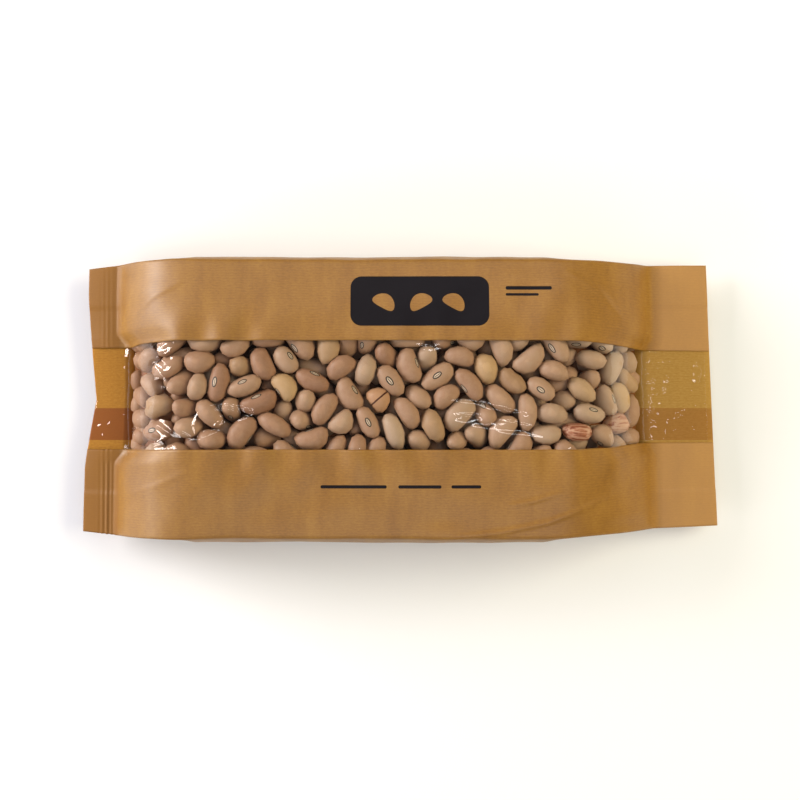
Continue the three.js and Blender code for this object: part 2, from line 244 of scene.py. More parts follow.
def steepness(height, x, y):
    """How much longer than its height a slope is."""
    along = height(x + 0.5, y) - height(x - 0.5, y)
    across = height(x, y + 0.5) - height(x, y - 0.5)
    return np.sqrt(1 + along**2 + across**2)


def beyond_window(x, y):
    """How far a point is outside the window's edges; less than 0 inside them."""
    return np.where(y > 0, y - window_edge(WINDOW_UPPER, x), window_edge(WINDOW_LOWER, x) - y)


def front_relief(x, y):
    """How far the film's and the paper's unevenness lifts them both."""
    full = openness(x)
    beside = np.exp(-((beyond_window(x, y) / RIPPLE_REACH) ** 2))
    share = RIPPLE_AT_SEALS + (1 - RIPPLE_AT_SEALS) * full
    ripple = RIPPLE * beside * lumps(x, 0.22 * y, size=5.5, seed=3) * share
    dents = DENTS * lumps(x, y, size=8, seed=5) * full
    sway = SWAY * lumps(x, y, size=34, seed=8) * full
    tucks = TUCKS * full * (1 - full) * lumps(0.3 * x, y, size=6, seed=12)
    return ripple + dents + sway + tucks


def paper_under(x, y):
    """The underside of the front paper, or where it would be across the window."""
    return front_height(x, y) + (front_relief(x, y) - PAPER - GLUE) * steepness(front_height, x, y)


# ---- Making meshes ----
def object_of(name, bm, materials):
    mesh = bpy.data.meshes.new(name)
    bm.to_mesh(mesh)
    bm.free()
    mesh.polygons.foreach_set("use_smooth", np.ones(len(mesh.polygons), bool))
    for material in materials:
        mesh.materials.append(material)
    piece = bpy.data.objects.new(name, mesh)
    bpy.context.scene.collection.objects.link(piece)
    return piece


def sheet(name, places, across, materials):
    """A grid of faces whose corners are put at places[row][column], with a UV map in millimetres."""
    rows, columns = places.shape[0] - 1, places.shape[1] - 1
    bm = bmesh.new()
    bm.loops.layers.uv.new("across")
    bmesh.ops.create_grid(bm, x_segments=rows, y_segments=columns, size=1, calc_uvs=True)
    piece = object_of(name, bm, materials)
    mesh = piece.data
    flat = np.empty(3 * len(mesh.vertices))
    mesh.vertices.foreach_get("co", flat)
    flat = flat.reshape(-1, 3)
    row = np.rint((flat[:, 0] + 1) / 2 * rows).astype(int)
    column = np.rint((flat[:, 1] + 1) / 2 * columns).astype(int)
    mesh.vertices.foreach_set("co", (places[row, column] * MM).ravel())
    uv = np.empty(2 * len(mesh.loops))
    layer = mesh.uv_layers.active.data
    layer.foreach_get("uv", uv)
    uv = uv.reshape(-1, 2)
    row = np.rint(uv[:, 0] * rows).astype(int)
    column = np.rint(uv[:, 1] * columns).astype(int)
    layer.foreach_set("uv", np.stack([places[row, 0, 0], across[column]], axis=1).ravel())
    mesh.update()
    return piece


def normals_of(places):
    """The direction square to the sheet at each of its corners."""
    along = np.gradient(places, axis=0)
    across = np.gradient(places, axis=1)
    normal = np.cross(along, across)
    return normal / np.maximum(np.linalg.norm(normal, axis=2, keepdims=True), 1e-9)


def softened(places, times):
    """Rounds the folds across each row by averaging each point with its neighbours."""
    for _ in range(times):
        inner = (places[:, :-2] + 2 * places[:, 1:-1] + places[:, 2:]) / 4
        places = np.concatenate([places[:, :1], inner, places[:, -1:]], axis=1)
    return places


def solidify(piece, thickness, inner_material=0):
    """Gives a sheet its thickness, under the face that was made."""
    modifier = piece.modifiers.new("wall", "SOLIDIFY")
    modifier.thickness = thickness * MM
    modifier.offset = -1
    modifier.material_offset = inner_material


# ---- Materials ----
def linear(colour):
    """A Blender colour from an sRGB hex value."""
    parts = [int(colour[i : i + 2], 16) / 255 for i in (1, 3, 5)]
    return [p / 12.92 if p <= 0.04045 else ((p + 0.055) / 1.055) ** 2.4 for p in parts] + [1]


def add(material, kind, inputs=(), stops=(), **settings):
    """Adds a node with its settings and colour stops, and returns it.

    Its inputs are given in order, or by name in a dictionary. Each is a value, a socket, or a node, which
    stands for its first output.
    """
    tree = material.node_tree
    node = tree.nodes.new("ShaderNode" + kind)
    for name, value in settings.items():
        setattr(node, name, value)
    for _ in stops[2:]:
        node.color_ramp.elements.new(0.5)
    for number, (place, colour) in enumerate(stops):
        node.color_ramp.elements[number].position = place
        node.color_ramp.elements[number].color = linear(colour)
    named = isinstance(inputs, dict)
    sockets = node.inputs if named else [socket for socket in node.inputs if socket.enabled]
    for key, value in inputs.items() if named else enumerate(inputs):
        if isinstance(value, bpy.types.Node):
            value = next(output for output in value.outputs if output.enabled)
        if isinstance(value, bpy.types.NodeSocket):
            tree.links.new(value, sockets[key])
        else:
            sockets[key].default_value = value
    return node


def new_material(name):
    material = bpy.data.materials.new(name)
    material.use_nodes = True
    material.node_tree.nodes.clear()
    return material


WIRE_PITCH = 0.8  # millimetres between the wire lines of the paper, drawn a little coarser than real
WAVE_SCALE = 0.314  # the Scale at which a wave texture repeats once a unit
FIBRES = (0.77, 1.76, 1)  # how many to a millimetre: flecks 1.3 mm long and 0.6 mm wide, coarser than real
CLOUDS = (0.16, 0.05, 1)  # how many to a millimetre: clouds in the pulp, 6 mm along the bag and 20 mm across


def kraft_grain(material, wired):
    """The fibres of kraft paper, with its wire lines as strong as asked."""
    place = add(material, "UVMap")
    waves = {"Vector": place, "Scale": WAVE_SCALE / WIRE_PITCH, "Distortion": 6.0, "Detail": 4.0}
    wire = add(material, "TexWave", {**waves, "Detail Scale": 0.6}, bands_direction="Y").outputs["Fac"]
    drawn_out = add(material, "Mapping", {"Vector": place, "Scale": FIBRES})
    fibre = add(material, "TexNoise", {"Vector": drawn_out, "Scale": 1.0, "Detail": 6.0, "Roughness": 0.8})
    return add(material, "Mix", [wired, fibre, wire])


def pulp_cloud(material):
    """The slow unevenness of the paper's colour, drawn out across the bag."""
    drawn_out = add(material, "Mapping", {"Vector": add(material, "UVMap"), "Scale": CLOUDS})
    return add(material, "TexNoise", {"Vector": drawn_out, "Scale": 1.0, "Detail": 4.0, "Roughness": 0.6})


def along_bag(material, start, end):
    """0 before one place along the bag and 1 past the other, both in millimetres."""
    place = add(material, "TexCoord").outputs["Object"]
    x = add(material, "SeparateXYZ", [place]).outputs["X"]
    return add(material, "MapRange", [x, start * MM, end * MM])


LIT_SHARE, SHADE_SHARE = 0.5, 0.75  # how much painted light the right seal gets, and painted shade the left
SEAL_BLUR, PALER_FROM = 0.5, 4.5  # half the width of a seal's inner edge, and where the right one is palest
GLAZED, SEALED, INKED = 0.82, 0.5, 0.15  # how much the paper, its left end and the ink on it shine


def kraft_paper():
    # Machine-glazed brown kraft: matt, with fine wire lines along the bag and a soft sheen from glazing.
    # The right sealed end is painted paler as painted light, and the left one browner as painted shade.
    material = new_material("glazed_kraft_paper")
    grain = kraft_grain(material, 0.08)
    tone = add(material, "Mix", [0.4, grain, pulp_cloud(material)])
    colour = add(material, "ValToRGB", [tone], stops=[(0.33, "#784F0C"), (0.5, "#8E6216"), (0.67, "#A07524")])
    # Painted light: the right seal is mixed towards a paler colour.
    seal = along_bag(material, RIGHT_SEAL - SEAL_BLUR, RIGHT_SEAL + PALER_FROM)
    painted_light = add(material, "Math", [seal, LIT_SHARE], operation="MULTIPLY")
    colour = add(material, "Mix", [painted_light, colour, linear("#C69860")], data_type="RGBA")
    # Painted shade: the left seal is mixed towards a browner colour, and it shines less.
    seal = along_bag(material, LEFT_SEAL + SEAL_BLUR, LEFT_SEAL - SEAL_BLUR)
    painted_shade = add(material, "Math", [seal, SHADE_SHARE], operation="MULTIPLY")
    gloss = add(material, "Mix", [seal, GLAZED, SEALED])
    colour = add(material, "Mix", [painted_shade, colour, linear("#88590E")], data_type="RGBA")
    ink = printed(material)
    colour = add(material, "Mix", [ink, colour, linear("#17141A")], data_type="RGBA")
    gloss = add(material, "Mix", [ink, gloss, INKED])
    bump = add(material, "Bump", {"Strength": 0.25, "Distance": 0.06 * MM, "Height": grain})
    look = {"Base Color": colour, "Roughness": 0.5, "Specular IOR Level": gloss, "Normal": bump}
    add(material, "OutputMaterial", [add(material, "BsdfPrincipled", look)])
    return material


GOLD_BLUR = 5.0  # half the length over which the left end's gold turns to the right end's olive
LAP_SHOWS = (0.85, 0.42)  # how strongly the glued lap shows through at the left and the right end


def kraft_inside():
    # The unglazed inner face. Under the sealed film it is golden at the left end and olive at the right
    # one, and it is browner where two sheets are glued.
    material = new_material("kraft_paper_inside")
    grain = kraft_grain(material, 0.06)
    right = along_bag(material, -GOLD_BLUR, GOLD_BLUR)
    gold = add(material, "ValToRGB", [grain], stops=[(0.3, "#98661A"), (0.5, "#A97520"), (0.7, "#B5832C")])
    olive = add(material, "ValToRGB", [grain], stops=[(0.3, "#9C7836"), (0.5, "#AB8542"), (0.7, "#B6924E")])
    colour = add(material, "Mix", [right, gold, olive], data_type="RGBA")
    place = add(material, "TexCoord").outputs["Object"]
    across = add(material, "SeparateXYZ", [place]).outputs["Y"]
    middle_of_lap = (LAP_EDGE + LAP_WIDTH / 2) * MM
    glued = add(material, "Math", [across, middle_of_lap, LAP_WIDTH / 2 * MM], operation="COMPARE")
    strength = add(material, "Mix", [right, *LAP_SHOWS])
    glued = add(material, "Math", [glued, strength], operation="MULTIPLY")
    colour = add(material, "Mix", [glued, colour, linear("#84450E")], data_type="RGBA")
    bump = add(material, "Bump", {"Strength": 0.15, "Distance": 0.05 * MM, "Height": grain})
    look = {"Base Color": colour, "Roughness": 0.55, "Specular IOR Level": 0.25, "Normal": bump}
    add(material, "OutputMaterial", [add(material, "BsdfPrincipled", look)])
    return material


# The print is a dark panel with three plain beans left bare in it, and plain bars. The dark panel and each
# bar have their middle and half their size, and each bean its middle and how far it is turned.
DARK_AT, DARK_HALF, DARK_ROUND = (6.0, 29.6), (21.0, 7.6), 3.4
BARE_BEANS = [(-4.6, 29.6, 0.5), (6.0, 29.6, -0.5), (16.6, 29.6, 0.5)]
BARE_HALF, BARE_BEND = (3.6, 2.2), 0.45
SMALL_BARS = [((39.0, 33.6), (7.0, 0.55)), ((37.0, 31.6), (5.0, 0.4))]
LONG_BARS = [((-14.0, -26.6), (10.0, 0.5)), ((6.0, -26.6), (6.5, 0.5)), ((20.0, -26.6), (4.5, 0.5))]
BAR_ROUND = 0.9  # how round a bar's ends are: 1 is half a circle


def printed_box(material, place, middle, half, corner):
    """1 inside a rectangle with round corners."""
    beside = add(material, "VectorMath", [place, (*middle, 0)], operation="SUBTRACT")
    beside = add(material, "VectorMath", [beside], operation="ABSOLUTE")
    straight = (half[0] - corner, half[1] - corner, 0)
    beside = add(material, "VectorMath", [beside, straight], operation="SUBTRACT")
    beside = add(material, "VectorMath", [beside, (0, 0, 0)], operation="MAXIMUM")
    reach = add(material, "VectorMath", [beside], operation="LENGTH")
    return add(material, "Math", [reach, corner], operation="LESS_THAN")


def beyond_bare_bean(material, place, x, y, turn):
    """1 outside a bean's outline, which is an ellipse bent by a parabola."""
    moved = add(material, "VectorMath", [place, (x, y, 0)], operation="SUBTRACT")
    turned = add(material, "VectorRotate", {"Vector": moved, "Angle": turn}, rotation_type="Z_AXIS")
    unit = add(material, "VectorMath", [turned, (*BARE_HALF, 1)], operation="DIVIDE")
    along, across, _ = add(material, "SeparateXYZ", [unit]).outputs
    along = add(material, "Math", [along, along], operation="MULTIPLY")
    across = add(material, "Math", [along, BARE_BEND, across], operation="MULTIPLY_ADD")
    reach = add(material, "Math", [across, across, along], operation="MULTIPLY_ADD")
    return add(material, "Math", [reach, 1.0], operation="GREATER_THAN")


def printed(material):
    """1 where the front carries ink."""
    place = add(material, "TexCoord").outputs["Object"]
    place = add(material, "VectorMath", [place, (1 / MM, 1 / MM, 0)], operation="MULTIPLY")
    ink = printed_box(material, place, DARK_AT, DARK_HALF, DARK_ROUND)
    for x, y, turn in BARE_BEANS:
        bare = beyond_bare_bean(material, place, x, y, turn)
        ink = add(material, "Math", [ink, bare], operation="MULTIPLY")
    for middle, half in SMALL_BARS + LONG_BARS:
        bar = printed_box(material, place, middle, half, half[1] * BAR_ROUND)
        ink = add(material, "Math", [ink, bar], operation="MAXIMUM")
    height = add(material, "SeparateXYZ", [add(material, "TexCoord").outputs["Object"]]).outputs["Z"]
    front = add(material, "Math", [height, MIDDLE_HEIGHT * MM], operation="GREATER_THAN")
    return add(material, "Math", [ink, front], operation="MULTIPLY")


def window_film():
    # Oriented polypropylene film: its faces throw back 3 % of the light and let the rest through, so it
    # is set as a mirror that is nearly all see-through.
    material = new_material("clear_polypropylene_film")
    look = {"Base Color": linear("#FFFFFF"), "Metallic": 1.0, "Roughness": 0.07, "Alpha": 0.03}
    add(material, "OutputMaterial", [add(material, "BsdfPrincipled", look)])
    return material


SCAR_LONG, SCAR_WIDE, SCAR_RING, SCAR_SLIT = 1.35, 0.62, 0.17, 0.1  # half sizes in millimetres
SLIT_SHARE = 0.7  # how much of the scar's length its slit takes up
MOTTLES, DIMPLES = 700.0, 330.0  # how many to a metre: mottles 1.4 mm apart and dimples 3 mm apart
STREAKS_DRAWN_OUT, STREAKED = (0.5, 4.5, 4.5), 2.0  # streaks run along the bean; how strong they are
CRACK = 0.07  # half the width of the dark line across a peeled bean, as a share of half its length


def scar(material, own):
    """The scar on a bean's -Y side: where it is pale, and where its ring and slit are dark."""
    half_bean = (BEAN_LENGTH / 2, 0, BEAN_THICKNESS / 2)
    aside = add(material, "VectorMath", [own, half_bean], operation="MULTIPLY")
    once = add(material, "VectorMath", [aside, (SCAR_LONG, 1, SCAR_WIDE)], operation="DIVIDE")
    twice = add(material, "VectorMath", [once, (SCAR_LONG, 1, SCAR_WIDE)], operation="DIVIDE")
    near = add(material, "VectorMath", [once], operation="LENGTH")
    steep = add(material, "VectorMath", [twice], operation="LENGTH")
    # The distance to an ellipse, which is near * (near - 1) / steep and less than 0 inside it.
    beyond = add(material, "Math", [near, 1.0], operation="SUBTRACT")
    beyond = add(material, "Math", [beyond, near], operation="MULTIPLY")
    beyond = add(material, "Math", [beyond, steep], operation="DIVIDE")
    pale = add(material, "Math", [beyond, 0.0], operation="LESS_THAN")
    ring = add(material, "Math", [beyond, 0.0, SCAR_RING], operation="COMPARE")
    across = add(material, "SeparateXYZ", [aside]).outputs["Z"]
    slit = add(material, "Math", [across, 0.0, SCAR_SLIT], operation="COMPARE")
    short = add(material, "Math", [near, SLIT_SHARE], operation="LESS_THAN")
    slit = add(material, "Math", [slit, short], operation="MULTIPLY")
    dark = add(material, "Math", [ring, slit], operation="MAXIMUM")
    side = add(material, "SeparateXYZ", [own]).outputs["Y"]
    facing = add(material, "Math", [side, 0.0], operation="LESS_THAN")
    return [add(material, "Math", [part, facing], operation="MULTIPLY") for part in (pale, dark)]


def bean_skin(name, stops, scarred=False, streaked=False, split=False):
    # The seed coat of a dry bean: satin, faintly dimpled and finely mottled. The scar is a pale oval in a
    # dark ring, with a dark slit along it. A peeled bean has a dark line across it instead.
    material = new_material(name)
    # The tone holds each bean's own tone and painted light that pales beans towards the right end.
    tone = add(material, "Attribute", attribute_name="tone").outputs["Fac"]
    own = add(material, "Attribute", attribute_name="own").outputs["Vector"]
    place = add(material, "TexCoord").outputs["Object"]
    mottle = add(material, "TexNoise", [place, MOTTLES, 4.0, 0.6])
    toned = add(material, "Math", [mottle, 0.5], operation="SUBTRACT")
    toned = add(material, "Math", [toned, 0.5, tone], operation="MULTIPLY_ADD")
    if streaked:
        drawn_out = add(material, "Mapping", {"Vector": own, "Scale": STREAKS_DRAWN_OUT})
        streak = add(material, "TexNoise", [drawn_out, 1.0, 2.0])
        streak = add(material, "Math", [streak, 0.5], operation="SUBTRACT")
        toned = add(material, "Math", [streak, STREAKED, toned], operation="MULTIPLY_ADD")
    colour = add(material, "ValToRGB", [toned], stops=stops)
    if scarred:
        pale, dark = scar(material, own)
        colour = add(material, "Mix", [pale, colour, linear("#C9B7A2")], data_type="RGBA")
        colour = add(material, "Mix", [dark, colour, linear("#231C18")], data_type="RGBA")
    if split:
        along = add(material, "SeparateXYZ", [own]).outputs["X"]
        crack = add(material, "Math", [along, 0.0, CRACK], operation="COMPARE")
        colour = add(material, "Mix", [crack, colour, linear("#4A2412")], data_type="RGBA")
    dimples = add(material, "TexNoise", [place, DIMPLES, 2.0])
    height = add(material, "Mix", [0.3, dimples, mottle])
    bump = add(material, "Bump", {"Strength": 0.4, "Distance": 0.25 * MM, "Height": height})
    look = {"Base Color": colour, "Roughness": 0.52, "Specular IOR Level": 0.42, "Normal": bump}
    add(material, "OutputMaterial", [add(material, "BsdfPrincipled", look)])
    return material


SHADE_SPOTS = 140.0  # to a metre: 7 mm apart, as beans are


def bean_shade():
    # What shows between the beans: more beans, painted darker than their skins as painted shade.
    material = new_material("beans_in_shade")
    place = add(material, "TexCoord").outputs["Object"]
    spots = add(material, "TexVoronoi", {"Vector": place, "Scale": SHADE_SPOTS})
    colour = add(material, "ValToRGB", [spots], stops=[(0.0, "#966036"), (0.5, "#704424"), (0.8, "#4A2A14")])
    look = {"Base Color": colour, "Roughness": 0.8}
    add(material, "OutputMaterial", [add(material, "BsdfPrincipled", look)])
    return material


# ---- The bag ----
# From one end to the other: where each stretch of rows starts, and how far apart its rows are.
ROWS = [(LEFT_TIP, 0.32), (LEFT_SEAL, 0.6), (LEFT_FULL, 0.66), (RIGHT_FULL, 0.62), (RIGHT_SEAL, 0.6)]
FRONT_COLUMNS, SIDE_COLUMNS, BACK_COLUMNS, LAP_COLUMNS = 40, 18, 13, 10
SOFTENED = 2  # how often the folds are rounded where the bag is open

CRIMPS_AT, CRIMPS_REACH, CRIMP_PITCH = -93.6, 2.2, 1.55  # the left seal's pressed lines, side by side
CRIMP, CRIMP_EVEN, CRIMP_SLOPE = 0.13, 0.55, 0.45  # half their height, which grows towards -Y
CREASED_FROM, CREASED_TO = 1.0, 7.0  # how far inside the front's edges its unevenness starts, and is full
ELSEWHERE_DENTS, ELSEWHERE_SWAY = 0.1, 0.15  # unevenness of the sides and back, at its highest
OVER_FILM, OVER_FILM_RAMP = 0.07, 0.3  # how much higher the sealed paper lies on the film, and half the step
BACK_MARGIN = 1  # how far inside its long edges the back rests on the table

# Points along each crease of the front, its height and its width.
PAPER_CREASES = [
    ([(33.0, -32.4), (41.0, -30.8), (49.0, -28.2)], 0.42, 0.6),
    ([(15.0, -42.2), (31.0, -40.4), (45.0, -37.4), (57.0, -32.8), (65.0, -28.6)], 0.5, 0.6),
    ([(-84.0, 24.0), (-76.0, 31.0), (-66.0, 36.0)], 0.2, 0.9),
    ([(-86.0, -30.0), (-75.0, -27.0), (-62.0, -21.0)], 0.2, 0.9),
    ([(70.0, 24.0), (61.0, 33.0), (50.0, 39.0)], 0.25, 0.9),
]


def rows_along():
    starts = [start for start, _ in ROWS] + [RIGHT_TIP]
    parts = [
        np.linspace(low, high, round((high - low) / step), endpoint=False)
        for (low, step), high in zip(ROWS, starts[1:])
    ]
    return np.append(np.concatenate(parts), RIGHT_TIP)[:, None]


def side_path(x, turn):
    """The side panel from its front edge, turn = 1, to its back edge, turn = -1: folded in at the seals."""
    mouth = np.maximum(GUSSET * openness(x), LAYER_GAP)
    fold = GUSSET * np.sqrt(1 - openness(x) ** 2) * (1 - np.abs(turn))
    swell = BULGE * spread(x) * (1 - turn**2)
    return panel_edge(x) + swell - fold, middle_height(x) + turn * mouth


def bag_places(x):
    """The paper from one edge of the window round the back to the other, and each column's way across."""
    out = np.linspace(0, 1, FRONT_COLUMNS + 1)
    down = np.linspace(1, -1, SIDE_COLUMNS + 1)
    edge = panel_edge(x)
    upper = blend(window_edge(WINDOW_UPPER, x), edge, out)
    lower = blend(-edge, window_edge(WINDOW_LOWER, x), out)
    over_lap = blend(edge, LAP_EDGE + BESIDE_LAP, np.linspace(0, 1, BACK_COLUMNS + 1))
    past_lap = blend(LAP_EDGE - BESIDE_LAP, -edge, np.linspace(0, 1, LAP_COLUMNS + 1))
    back = np.concatenate([over_lap, past_lap], axis=1)
    near_y, near_z = side_path(x, down)
    far_y, far_z = side_path(x, down[::-1])
    y = np.concatenate([upper, near_y, back, -far_y, lower], axis=1)
    z = [front_height(x, upper), near_z, back_height(x, back), far_z, front_height(x, lower)]
    places = np.stack([x * np.ones_like(y), y, np.concatenate(z, axis=1)], axis=2)
    middle = places[len(places) // 2]
    across = np.append(0, np.cumsum(np.linalg.norm(np.diff(middle, axis=0), axis=1)))
    return places, across


def paper_relief(places, across):
    """How far the paper stands out from its plain form."""
    x, y = places[:, :, 0], places[:, :, 1]
    count = len(across)
    column = np.arange(count)
    front = (column <= FRONT_COLUMNS) | (column >= count - FRONT_COLUMNS - 1)
    share = front * ease(CREASED_FROM, CREASED_TO, panel_edge(x) - np.abs(y))
    elsewhere = ELSEWHERE_DENTS * lumps(x, across, size=9, seed=5)
    elsewhere = (elsewhere + ELSEWHERE_SWAY * lumps(x, across, size=30, seed=8)) * openness(x)
    depth = CRIMP * (CRIMP_EVEN - CRIMP_SLOPE * y / PANEL)
    beyond = skew(x, y) - CRIMPS_AT
    crimps = depth * np.exp(-((beyond / CRIMPS_REACH) ** 2)) * np.cos(beyond * 2 * math.pi / CRIMP_PITCH)
    over_film = ease(OVER_FILM_RAMP, -OVER_FILM_RAMP, beyond_window(x, y) - FILM_UNDER_PAPER)
    over_film = OVER_FILM * (1 - openness(x)) * over_film
    creases = sum(height * crease(x, y, points, width) for points, height, width in PAPER_CREASES)
    low = ~front & (places[:, :, 2] < middle_height(x))
    on_table = low & (np.abs(y) < panel_edge(x) - BACK_MARGIN)
    rest = np.where(on_table, np.minimum(elsewhere, 0), elsewhere)
    return share * front_relief(x, y) + (1 - share) * rest + front * (crimps + creases + over_film)


def paper_bag():
    places, across = bag_places(rows_along())
    # The folds stay sharp in the seals.
    places = blend(places, softened(places, SOFTENED), openness(places[:, :, :1]))
    places = places + normals_of(places) * paper_relief(places, across)[:, :, None]
    x, y = places[:, :, 0], places[:, :, 1]
    places = np.stack([skew(x, y), sideways(x, y), places[:, :, 2]], axis=2)
    places[:, :, 2] = np.maximum(places[:, :, 2], 0)
    bag = sheet("kraft_paper_bag", places, across, [kraft_paper(), kraft_inside()])
    solidify(bag, PAPER, inner_material=1)
    return bag


# ---- The beans ----
class Draws:
    """The same run of pseudo-random numbers as the solids' beans use."""

    def __init__(self, seed):
        self.state = seed

    def next(self):
        self.state = self.state * 16807 % 2147483647
        return self.state / 2147483647

    def about(self, mean, share):
        return mean * (1 + share * (2 * self.next() - 1))


def ceiling(x, y):
    return solid_front(x, y) - CEILING_CLEAR


def bag_floor(x, y):
    return solid_back(x, y) + FLOOR_CLEAR


def settled_beans():
    """The beans thrown in at random, then pushed apart and up against the film until they rest."""
    draws = Draws(SEED)
    rows = []
    for _ in range(BEAN_COUNT):
        length = draws.about(BEAN_LENGTH, LENGTH_SPREAD)
        width = draws.about(BEAN_WIDTH, WIDTH_SPREAD)
        x = blend(BEANS_LEFT + THROWN_INSET, BEANS_RIGHT - THROWN_INSET, draws.next())
        y = blend(THROWN_INSET - BEANS_SIDE, BEANS_SIDE - THROWN_INSET, draws.next())
        z = float(ceiling(x, y)) - THROWN_FROM - THROWN_DEPTH * draws.next()
        heading = 2 * math.pi * draws.next()
        tilt = THROWN_TILT * (2 * draws.next() - 1)
        roll = 2 * math.pi * draws.next()
        axis = (math.cos(heading) * math.cos(tilt), math.sin(heading) * math.cos(tilt), math.sin(tilt))
        rows.append((length, width, roll, *axis, x, y, z))
    rows = np.array(rows)
    length, width, roll, axis, centre = rows[:, 0], rows[:, 1], rows[:, 2], rows[:, 3:6], rows[:, 6:9]
    radius = width * (BEAN_WIDTH + BEAN_THICKNESS) / BEAN_WIDTH / 4
    offset = (length / 2 - radius)[:, None]
    owner = np.repeat(np.arange(BEAN_COUNT), 3)
    r = radius[owner]
    reach = r[:, None] + r[None, :]
    apart = owner[:, None] != owner[None, :]
    for step in range(SETTLE_STEPS):
        lift = SETTLE_LIFT * (1 - step / SETTLE_STEPS)
        balls = np.stack([centre - axis * offset, centre, centre + axis * offset], axis=1).reshape(-1, 3)
        balls[:, 2] += lift
        a, b = np.nonzero(np.triu(apart & (np.abs(balls[:, 0][:, None] - balls[:, 0][None, :]) < reach)))
        between = balls[b] - balls[a]
        distance = np.linalg.norm(between, axis=1)
        near = (distance < reach[a, b]) & (distance > 0)
        a, b, between, distance = a[near], b[near], between[near], distance[near]
        push = between * (SETTLE_EASE * (reach[a, b] - distance) / distance)[:, None]
        np.add.at(balls, b, push)
        np.add.at(balls, a, -push)
        # No straight row forms along either end, because the walls there are wavy.
        uneven = END_WAVE * np.sin(END_WAVES * balls[:, 1] + 1) ** 2
        balls[:, 0] = np.clip(balls[:, 0], BEANS_LEFT + r + uneven, BEANS_RIGHT - r - uneven)
        balls[:, 1] = np.clip(balls[:, 1], r - BEANS_SIDE, BEANS_SIDE - r)
        x, y = balls[:, 0], balls[:, 1]
        top = ceiling(x, y) - r * steepness(ceiling, x, y)
        bottom = bag_floor(x, y) + r * steepness(bag_floor, x, y)
        balls[:, 2] = np.minimum(np.maximum(balls[:, 2], bottom), np.maximum(top, (top + bottom) / 2))
        triples = balls.reshape(-1, 3, 3)
        centre = triples.mean(axis=1)
        axis = triples[:, 2] - triples[:, 0]
        axis /= np.linalg.norm(axis, axis=1, keepdims=True)
    return [
        {"length": n, "width": w, "roll": t, "axis": Vector(d), "centre": Vector(c)}
        for n, w, t, d, c in zip(length, width, roll, axis, centre)
    ]


BALL_CUTS = 2
PLUMP = 2.25  # how blunt a bean's ends are: 2 is an ellipse
LUMPS_ALONG, LUMPS_ASIDE, LUMPS_UP = 0.03, 0.025, 0.02  # a bean's unevenness, as a share of its half size
BEND_SPREAD = (-0.05, 0.06)  # how far a bean's bend may be from the usual one
UNDER_FILM = 0.1  # clearance between the highest beans and the film's plain form
ABOVE_BACK = 0.4  # and between the lowest ones and the outside of the back
TONE_MEAN, TONE_SPREAD, LIT_ALONG = 0.5, 0.17, 0.002  # painted light makes beans paler towards the right end
TONE_LIMITS = (0.02, 0.98)
SHOWING = 4.6  # a bean whose middle is no deeper than this under the ceiling shows through the film
PEELED_LENGTH = 1.1  # for its width


def bean_template():
    """A ball of evenly spread squares, few enough to be repeated for every bean."""
    bm = bmesh.new()
    bmesh.ops.create_cube(bm, size=2)
    bmesh.ops.subdivide_edges(bm, edges=bm.edges, cuts=BALL_CUTS, use_grid_fill=True)
    for vert in bm.verts:
        vert.co = Vector([math.tan(part * math.pi / 4) for part in vert.co]).normalized()
    mesh = bpy.data.meshes.new("bean_template")
    bm.to_mesh(mesh)
    bm.free()
    return mesh


def bean_shape(ball, bean, draw, wrinkle):
    """Puts the template's points on one bean, clear of the film and the back, and returns them with the
    bean's own unit coordinates."""
    blunt = (np.abs(ball) ** PLUMP).sum(axis=1) ** (-1 / PLUMP)
    unit = ball * blunt[:, None]
    half = np.array([bean["length"], bean["width"], bean["width"] * BEAN_THICKNESS / BEAN_WIDTH]) / 2
    phase = draw.uniform(0, 2 * math.pi, 5)
    a, b, c = unit.T
    uneven = LUMPS_ALONG * np.sin(3.1 * a + phase[0]) + LUMPS_ASIDE * np.sin(4.3 * b + phase[1])
    uneven += LUMPS_UP * np.sin(4.9 * c + 2 * a + phase[2])
    uneven += wrinkle * np.sin(6 * a + 3 * c + phase[3]) * np.sin(5 * b + 2 * c + phase[4])
    shaped = unit * (1 + uneven)[:, None]
    shaped[:, 1] += (BEAN_BEND + draw.uniform(*BEND_SPREAD)) * (1 - 2 * a**2)
    shaped = shaped * half
    spin = np.array(Matrix.Rotation(bean["roll"], 3, "X"))
    turn = np.array(Vector((1, 0, 0)).rotation_difference(bean["axis"]).to_matrix())
    placed = shaped @ (turn @ spin).T + np.array(bean["centre"])
    placed[:, 2] += LIFT
    x, y = unskewed(placed[:, 0], placed[:, 1]), placed[:, 1]
    placed[:, 2] += max(0, (back_height(x, y) + ABOVE_BACK - placed[:, 2]).max())
    placed[:, 2] -= max(0, (placed[:, 2] - paper_under(x, y)).max() + UNDER_FILM)
    bean["points"] = np.stack([x, y, placed[:, 2]], axis=1)
    return placed, unit


